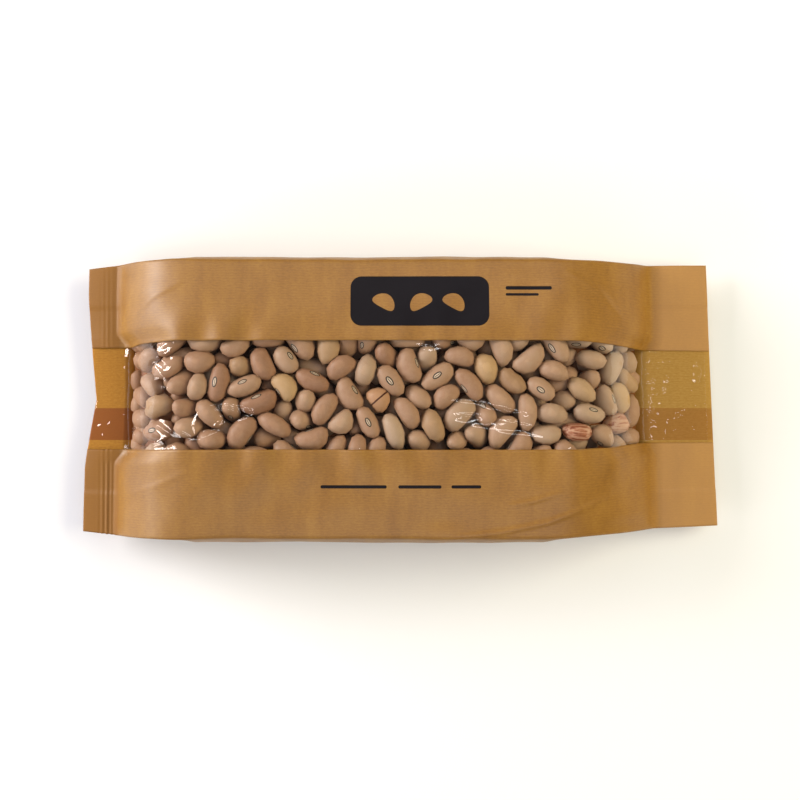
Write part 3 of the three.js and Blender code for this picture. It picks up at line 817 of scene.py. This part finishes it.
def bean_piece(template, name, beans, material, seed, wrinkle):
    """One kind of bean, every one of them joined in one mesh."""
    bm = bmesh.new()
    for _ in beans:
        bm.from_mesh(template)
    piece = object_of(name, bm, [material])
    ball = np.empty(3 * len(template.vertices))
    template.vertices.foreach_get("co", ball)
    ball = ball.reshape(-1, 3)
    draw = np.random.default_rng(seed)
    shapes = [bean_shape(ball, bean, draw, wrinkle) for bean in beans]
    mesh = piece.data
    mesh.vertices.foreach_set("co", (np.concatenate([s[0] for s in shapes]) * MM).ravel())
    own = mesh.attributes.new("own", "FLOAT_VECTOR", "POINT")
    own.data.foreach_set("vector", np.concatenate([s[1] for s in shapes]).ravel())
    along = np.array([bean["centre"].x for bean in beans])
    # Each bean's own tone at random, plus painted light that makes it paler towards the right end.
    tones_and_painted_light = draw.normal(TONE_MEAN, TONE_SPREAD, len(beans)) + LIT_ALONG * along
    tones_and_painted_light = np.clip(tones_and_painted_light, *TONE_LIMITS)
    tone = mesh.attributes.new("tone", "FLOAT", "POINT")
    tone.data.foreach_set("value", np.repeat(tones_and_painted_light, len(ball)))
    mesh.update()
    return piece


# Where the odd beans lie, in millimetres: the bean nearest to each is made one of them.
PEELED_AT = [(-7.0, 0.6)]
CRACKED_AT = [(57.0, -8.0), (71.0, -9.5)]
YELLOW_AT = [(67.0, -3.0), (-40.0, 3.0), (24.0, 11.0)]
SHRIVELLED_AT = [(56.0, 1.5), (72.0, 6.0), (-70.0, -6.0), (-26.0, 12.0)]
SHRIVELLED_AT += [(12.0, -11.0), (34.0, 5.0), (-52.0, 9.0)]

# The colours of each kind of skin, from its darkest beans to its palest.
PALE = [(0.0, "#906A51"), (0.3, "#9E7B61"), (0.55, "#A8886E"), (0.8, "#AA9078"), (1.0, "#AF967E")]
TAN = [(0.0, "#927052"), (0.5, "#A68767"), (1.0, "#B39674")]
YELLOW = [(0.0, "#A2825C"), (0.5, "#B09069"), (1.0, "#BA9C76")]
RED = [(0.3, "#7E462E"), (0.45, "#9A6046"), (0.6, "#B08066"), (0.8, "#BC967C")]
ORANGE = [(0.0, "#9C7456"), (0.5, "#AE8664"), (1.0, "#B89270")]


def all_beans():
    """The five kinds of bean, and all their points, for the film to lie on."""
    beans = settled_beans()
    free = [b for b in beans if ceiling(b["centre"].x, b["centre"].y) - b["centre"].z < SHOWING]

    def taken(places):
        near = [min(free, key=lambda b: math.dist(b["centre"][:2], place)) for place in places]
        for bean in near:
            free.remove(bean)
        return near

    peeled, cracked, yellow, shrivelled = [
        taken(places) for places in (PEELED_AT, CRACKED_AT, YELLOW_AT, SHRIVELLED_AT)
    ]
    for bean in peeled:
        bean["length"] = PEELED_LENGTH * bean["width"]
    used = [id(bean) for bean in peeled + cracked + yellow + shrivelled]
    plain = [bean for bean in beans if id(bean) not in used]
    # Each piece's name, beans, skin, seed, and how wrinkled its beans are.
    kinds = [
        ("beans_smooth", plain, bean_skin("pale_bean_skin", PALE, scarred=True), 11, 0.012),
        ("bean_peeled", peeled, bean_skin("peeled_bean_flesh", ORANGE, split=True), 14, 0.0),
        ("beans_cracked", cracked, bean_skin("cracked_bean_skin", RED, streaked=True), 13, 0.03),
        ("beans_yellow", yellow, bean_skin("yellow_bean_skin", YELLOW, scarred=True), 15, 0.0),
        ("beans_shrivelled", shrivelled, bean_skin("shrivelled_bean_skin", TAN), 12, 0.07),
    ]
    template = bean_template()
    pieces = [bean_piece(template, *kind) for kind in kinds]
    bpy.data.meshes.remove(template)
    return pieces, np.concatenate([bean["points"] for bean in beans])


BED_DEPTH, BED_UNEVEN = 10.5, 0.7  # how far the bed lies under the front, and how uneven it is
BED_ROWS, BED_COLUMNS = 80, 23
BED_MARGIN, BED_WIDER = 1, 1  # how far short of the beans it stops along the bag, and past them across it
BED_THINNEST = 0.4
FACE_ORDER = Vector((1, 0.01, 0.0001))  # along the bag first, then across it, then upwards


def bean_bed():
    """The rest of the heap, under the beans that show."""
    x = np.linspace(BEANS_LEFT + BED_MARGIN, BEANS_RIGHT - BED_MARGIN, BED_ROWS)[:, None]
    y = np.linspace(-BEANS_SIDE - BED_WIDER, BEANS_SIDE + BED_WIDER, BED_COLUMNS)[None, :]
    low = bag_floor(x, y)
    top = solid_front(x, y) - BED_DEPTH + BED_UNEVEN * lumps(x, y, size=5, seed=31)
    top = np.maximum(top, low + BED_THINNEST)
    xs, ys = np.broadcast_arrays(x, y)
    bed = sheet("bean_bed", np.stack([xs, ys, top], axis=2), y[0], [bean_shade()])
    bm = bmesh.new()
    bm.from_mesh(bed.data)
    grown = bmesh.ops.extrude_face_region(bm, geom=bm.faces[:])
    for vert in (g for g in grown["geom"] if isinstance(g, bmesh.types.BMVert)):
        vert.co.z = bag_floor(vert.co.x / MM, vert.co.y / MM) * MM
    bmesh.ops.recalc_face_normals(bm, faces=bm.faces)
    # Extruding makes the sides in a new order each time, so the faces are sorted.
    bm.faces.sort(key=lambda face: face.calc_center_median().dot(FACE_ORDER))
    bm.to_mesh(bed.data)
    bm.free()
    return bed


# ---- The film ----
FILM_ROWS, FILM_COLUMNS, GLUED_COLUMNS = 520, 84, 3
FILM_SHORT = 1.6  # how much shorter than the paper the film is at the right end
FILM_RIM = 1.2  # how far inside the window's edges it is still stretched flat
FILM_SAG = 0.35  # how much lower than the paper's underside it lies between beans
FILM_SMOOTHING = 30  # how often it is smoothed over the beans
UNDER_PAPER = 0.01  # the least that beans leave between the film and the paper's underside
OVER_BEANS = 0.05  # from a bean to the outside of the film that it lifts
SEAL_WRINKLES = {"left": 0.02, "right": 0.34}  # mean height of the fine lines along the sealed film

# Points along each fold of the film that catches the light, its height and its width.
FILM_FOLDS = [
    ([(-75.0, -6.6), (-69.0, -9.8), (-63.0, -11.8), (-60.6, -11.6)], 0.54, 0.8),
    ([(-60.8, -12.0), (-61.8, -8.0), (-60.2, -3.4)], 0.68, 0.7),
    ([(-61.5, -11.8), (-56.0, -9.0), (-52.0, -5.0)], 0.54, 0.7),
    ([(-60.5, -3.2), (-51.5, -2.4), (-44.6, -4.0), (-49.0, -6.2), (-52.5, -4.4)], 0.47, 0.65),
    ([(-82.0, 14.8), (-76.0, 13.4), (-71.5, 10.4)], 0.68, 0.9),
    ([(-80.0, 11.0), (-76.0, 12.4), (-70.0, 14.6)], 0.68, 0.9),
    ([(-81.0, 8.2), (-76.0, 9.4), (-71.5, 5.8)], 0.68, 0.9),
    ([(-82.5, -12.0), (-78.0, -13.4), (-72.0, -12.2)], 0.68, 0.8),
    ([(15.0, -2.2), (25.0, -2.9), (34.0, -3.6)], 0.5, 1.1),
    ([(17.0, -4.0), (27.0, -4.4), (38.0, -5.8)], 0.5, 1.1),
    ([(12.0, -5.6), (24.0, -5.8), (36.0, -7.2)], 0.5, 1.1),
    ([(20.0, -7.4), (31.0, -7.6), (41.0, -9.0)], 0.5, 1.1),
    ([(28.0, -8.9), (37.0, -9.6), (45.0, -11.2)], 0.5, 1.1),
    ([(4.0, 16.2), (9.0, 15.2), (14.0, 16.2)], 0.47, 0.8),
    ([(60.0, 16.0), (66.0, 15.0), (71.0, 15.2)], 0.41, 0.8),
    ([(56.0, -12.2), (62.0, -11.2), (68.0, -12.6)], 0.41, 0.7),
    ([(81.4, 6.4), (83.2, 13.6)], 0.8, 0.85),
    ([(82.8, 0.2), (84.4, 7.4)], 0.8, 0.85),
    ([(81.4, -6.0), (83.2, 0.8)], 0.8, 0.85),
    ([(82.6, -13.0), (84.6, -5.6)], 0.8, 0.85),
    ([(86.4, 1.0), (88.2, 8.0)], 0.8, 0.85),
    ([(86.0, -12.6), (87.4, -7.0)], 0.8, 0.85),
    ([(84.0, -8.4), (88.0, -9.8), (92.5, -9.0)], 0.4, 1.0),
    ([(89.0, -6.8), (93.0, -4.0), (98.0, -3.2)], 0.4, 1.0),
    ([(95.4, 2.0), (97.2, 9.0), (96.6, 12.6)], 0.8, 0.85),
    ([(83.0, 10.8), (90.0, 11.4), (97.0, 10.6)], 0.31, 0.8),
    ([(82.5, 7.2), (89.0, 7.4), (95.5, 6.2)], 0.31, 0.8),
    ([(84.0, 3.2), (90.0, 2.6), (98.0, 3.0)], 0.31, 0.8),
    ([(83.5, -1.2), (90.0, -1.8), (96.0, -1.0)], 0.31, 0.8),
    ([(13.0, -0.6), (20.0, -1.2), (28.0, -1.8)], 0.3, 0.6),
    ([(22.0, -3.3), (30.0, -3.9), (40.0, -5.0)], 0.35, 0.6),
    ([(16.0, -4.9), (26.0, -5.1), (33.0, -5.8)], 0.35, 0.6),
]

# Short folds where the film leaves the seals and near its left end: where each lies.
SHORT_FOLDS_AT = [
    (83.4, 11.6), (84.9, 8.1), (82.9, 5.4), (84.8, 2.4), (83.0, -0.4), (85.0, -4.4), (83.2, -6.6),
    (84.6, -10.4), (96.6, -2.2), (95.8, -8.8),
    (-87.9, -1.8), (-88.2, -9.9), (-97.6, -8.4), (-94.6, -7.5), (-96.2, -11.3), (-92.4, -10.4),
]
SHORT_HALF, SHORT_RISE = 1.3, 0.3  # from a fold's middle to its end, along the bag and across it
SHORT_HEIGHT, SHORT_WIDTH = 0.36, 0.9
for x, y in SHORT_FOLDS_AT:
    ends = [(x - SHORT_HALF, y - SHORT_RISE), (x + SHORT_HALF, y + SHORT_RISE)]
    FILM_FOLDS.append((ends, SHORT_HEIGHT, SHORT_WIDTH))

# Where the film is crumpled: the middle of each patch, its reach along and across, its height, how steeply
# its ridges run, how drawn out they are and how far apart.
FILM_CRUMPLES = [
    ((-76.5, 9.5), (6.0, 5.5), 0.7, 0.4, 0.7, 4.4),
    ((-57.0, -7.5), (7.0, 4.0), 0.4, 0.2, 0.7, 3.4),
    ((-78.0, -12.0), (5.0, 3.5), 0.5, 0.2, 0.7, 3.4),
    ((29.0, -5.0), (11.0, 3.6), 0.35, -0.14, 0.1, 2.6),
    ((50.0, -9.5), (7.0, 2.2), 0.2, -0.25, 0.2, 2.6),
    ((83.0, -1.0), (2.4, 13.0), 0.5, 0.3, 1.0, 2.6),
    ((92.5, -6.5), (5.5, 4.5), 0.5, 0.25, 0.4, 2.6),
    ((-93.0, -8.0), (4.0, 4.0), 0.12, 0.0, 1.0, 2.6),
]
RIDGE_STEEP = 1.3  # the larger, the narrower the ridges


def crumple(x, y, middle, reach, height, slope, drawn_out, apart):
    """A patch of ridges as sharp as the mesh allows, fading towards its rim."""
    along, across = x - middle[0], y - middle[1] - slope * (x - middle[0])
    ridges = np.clip(1 - RIDGE_STEEP * np.abs(lumps(drawn_out * along, across, apart, seed=21)), 0, 1)
    return height * ridges * np.exp(-((along / reach[0]) ** 2) - (across / reach[1]) ** 2)


def pressed_up(x, y, tops):
    """The height of the highest bean near each point of the film."""
    row = np.rint((tops[:, 0] - x[0, 0]) / (x[1, 0] - x[0, 0])).astype(int)
    column = np.rint((tops[:, 1] - y[0, 0]) / (y[0, -1] - y[0, 0]) * (y.shape[1] - 1)).astype(int)
    heights = np.full(x.shape, -1e3)
    near = (row >= 0) & (row < x.shape[0]) & (column >= 0) & (column < y.shape[1])
    np.maximum.at(heights, (row[near], column[near]), tops[near, 2] + OVER_BEANS)
    return heights


def film_strip(tops):
    """The film, stretched between its glued edges, lifted by the beans under it, and then folded."""
    x = np.linspace(LEFT_TIP, RIGHT_TIP - FILM_SHORT, FILM_ROWS + 1)[:, None]
    upper, lower = window_edge(WINDOW_UPPER, x), window_edge(WINDOW_LOWER, x)
    glued = np.linspace(0, FILM_UNDER_PAPER, GLUED_COLUMNS + 1)
    clear = np.linspace(0, 1, FILM_COLUMNS + 1)[1:-1]
    y = np.concatenate([lower - glued[::-1], blend(lower, upper, clear), upper + glued], axis=1)
    x = x * np.ones_like(y)
    inside = ease(0, FILM_RIM, -beyond_window(x, y))
    under = paper_under(x, y)
    pressed = under - FILM_SAG * openness(x) * inside
    pressed = np.maximum(pressed, np.minimum(pressed_up(x, y, tops), under - UNDER_PAPER))
    for _ in range(FILM_SMOOTHING):
        inner = (pressed[:-2, 1:-1] + pressed[2:, 1:-1] + pressed[1:-1, :-2] + pressed[1:-1, 2:]) / 4
        pressed[1:-1, 1:-1] = np.where(inside[1:-1, 1:-1] > 0, inner, under[1:-1, 1:-1])
    folds = sum(height * crease(x, y, points, width) for points, height, width in FILM_FOLDS)
    crumples = sum(crumple(x, y, *patch) for patch in FILM_CRUMPLES)
    wrinkles = by_end(SEAL_WRINKLES, x) * (1 - openness(x)) * (1 + lumps(0.12 * x, y, size=2.2, seed=23))
    z = pressed + inside * (folds + crumples + wrinkles)
    places = np.stack([skew(x, y), y, z], axis=2)
    film = sheet("window_film_strip", places, y[0] - y[0, 0], [window_film()])
    solidify(film, FILM)
    return film


# ---- Setting, in metres ----
FLOOR_HALF, FLOOR_DROP = 3, 0.0003  # half its width, and how far under the pack it lies
LAMPS_AIM = Vector((0, 0, 0.02))
CAMERA_AIM = Vector((0, 0, 0.01))  # the height of the seals
CAMERA_AWAY, CAMERA_ELEVATION = 0.4, 89
FRAME_WIDTH = 0.256  # what the frame takes in at the seals: 0.32 mm a pixel
SENSOR_WIDTH = 36


def floor_piece():
    bm = bmesh.new()
    bmesh.ops.create_grid(bm, x_segments=1, y_segments=1, size=FLOOR_HALF)
    bmesh.ops.translate(bm, verts=bm.verts, vec=(0, 0, -FLOOR_DROP))
    material = new_material("pale_studio_floor")
    look = {"Base Color": linear("#F0F5FF"), "Roughness": 0.9}
    add(material, "OutputMaterial", [add(material, "BsdfPrincipled", look)])
    return object_of("floor", bm, [material])


def area_light(name, place, size, power, colour, mirrored=True, lights_up=True):
    """A lamp that faces the pack. One that isn't mirrored leaves no image of itself in the film, and one that
    doesn't light things up only makes the highlights on it."""
    light = bpy.data.lights.new(name, "AREA")
    light.shape = "RECTANGLE"
    light.size, light.size_y = size
    light.energy = power
    light.color = linear(colour)[:3]
    lamp = bpy.data.objects.new(name, light)
    lamp.location = place
    lamp.rotation_euler = (LAMPS_AIM - Vector(place)).to_track_quat("-Z", "Y").to_euler()
    lamp.visible_glossy = mirrored
    lamp.visible_diffuse = lights_up
    bpy.context.scene.collection.objects.link(lamp)


def lights():
    area_light("key_left", (-0.78, 0.3, 0.32), (0.4, 0.4), 8.8, "#FFF5EE")
    area_light("low_left", (-0.75, -0.35, 0.32), (0.4, 0.3), 3.0, "#FFF5EE")
    area_light("window_top", (0.1, 0.6, 0.62), (1.2, 0.35), 0.8, "#FFFCF6", mirrored=False)
    area_light("overhead", (0.05, 0.0, 1.0), (1.0, 1.0), 2.1, "#FAFCFF", mirrored=False)
    area_light("fill_right", (0.62, 0.1, 0.52), (0.6, 0.5), 6.3, "#FFF0C8", mirrored=False)
    area_light("fill_front", (0.1, -0.65, 0.6), (1.0, 0.35), 1.0, "#FFFAF4", mirrored=False)
    area_light("glint_top", (0.05, 0.5, 0.8), (0.8, 0.07), 1.65, "#FFFFFF", lights_up=False)
    area_light("glint_front", (0.05, -0.5, 0.8), (0.8, 0.07), 1.65, "#FFFFFF", lights_up=False)
    world = bpy.data.worlds.new("studio")
    world.use_nodes = True
    background = world.node_tree.nodes["Background"]
    background.inputs["Color"].default_value = linear("#FFFFFF")
    background.inputs["Strength"].default_value = 0.04
    bpy.context.scene.world = world


def camera():
    data = bpy.data.cameras.new("camera")
    data.sensor_width = SENSOR_WIDTH
    data.lens = data.sensor_width * CAMERA_AWAY / FRAME_WIDTH
    camera_object = bpy.data.objects.new("camera", data)
    elevation = math.radians(CAMERA_ELEVATION)
    place = Vector((0, -math.cos(elevation), math.sin(elevation))) * CAMERA_AWAY + CAMERA_AIM
    camera_object.location = place
    camera_object.rotation_euler = (CAMERA_AIM - place).to_track_quat("-Z", "Y").to_euler()
    bpy.context.scene.collection.objects.link(camera_object)
    bpy.context.scene.camera = camera_object


def main():
    bag = paper_bag()
    beans, tops = all_beans()
    strip = film_strip(tops)
    bed = bean_bed()
    for piece in [bag, strip, bed, *beans]:
        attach(piece, "root")
    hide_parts("kraft_bag")
    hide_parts("window_film")
    for piece in [bed, *beans]:
        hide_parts("bean_heap")
    floor_piece()
    lights()
    camera()
    bpy.context.scene.view_settings.view_transform = "Standard"


main()
